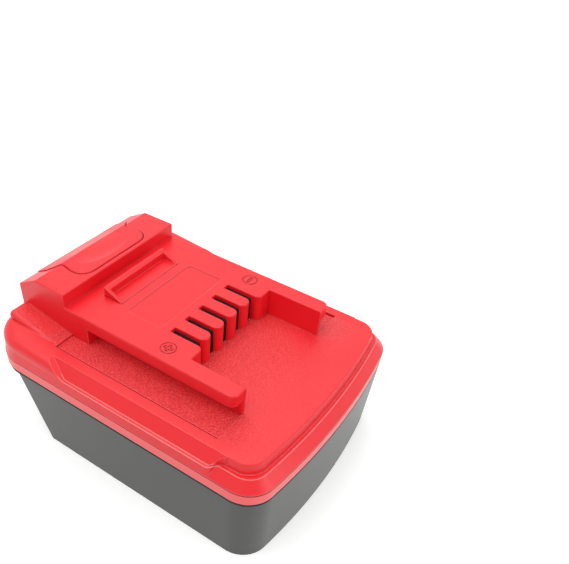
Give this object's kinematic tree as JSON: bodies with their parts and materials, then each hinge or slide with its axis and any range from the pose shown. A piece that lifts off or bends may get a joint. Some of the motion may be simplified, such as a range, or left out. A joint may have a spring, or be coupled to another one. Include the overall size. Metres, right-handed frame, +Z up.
{
  "type": "tool battery adapter",
  "caption": "Slide-on adapter: a dark base takes one battery from below, and a red cover with rails, contact slots and a sprung release button slides onto a tool.",
  "frame": {"origin": "on the table, under the middle of the adapter's overall box, in the plane of the base rim", "axes": "+X from the release button to the bowed end, +Z up out of the tool rails, +Y to the negative side"},
  "size_m": [0.101, 0.08, 0.0511],
  "materials": {
    "red_abs": "satin moulded red with fine grained panels",
    "black_base": "fine spark-eroded grain",
    "black_nylon": "smooth semi-matt",
    "bright_steel": "nickel plated",
    "spring_steel": "drawn wire",
    "contact_brass": "stamped sheet",
    "screw_black": "black oxide",
    "lead_red": "soft insulation",
    "lead_black": "soft insulation",
    "resistor_body": "lacquered"
  },
  "bodies": {
    "housing": {"base_shell": "black_base", "top_cover": "red_abs", "latch_spring_left": "spring_steel", "latch_spring_right": "spring_steel", "spring_plate": "black_nylon", "spring_plate_screws": "screw_black", "inlet_blade_negative": "bright_steel", "inlet_blade_positive": "bright_steel", "blade_carrier": "black_nylon", "blade_clamp": "black_nylon", "blade_clamp_screws": "screw_black", "terminal_block": "black_nylon", "terminal_block_screws": "screw_black", "contact_clip_positive": "contact_brass", "contact_clip_sense": "contact_brass", "contact_clip_negative": "contact_brass", "lead_negative": "lead_black", "lead_positive": "lead_red", "sense_resistor": "resistor_body", "shelf_screws": "screw_black", "rim_screws": "screw_black"},
    "latch": {"release_latch": "red_abs"}
  },
  "joints": [
    {"name": "latch_press", "type": "slide", "parent": "housing", "child": "latch", "axis": [0, 0, -1], "range_m": [0, 0.0032], "stiffness_N_per_m": 2000, "springref_m": -0.002, "deforming": ["latch_spring_left", "latch_spring_right"]}
  ]
}
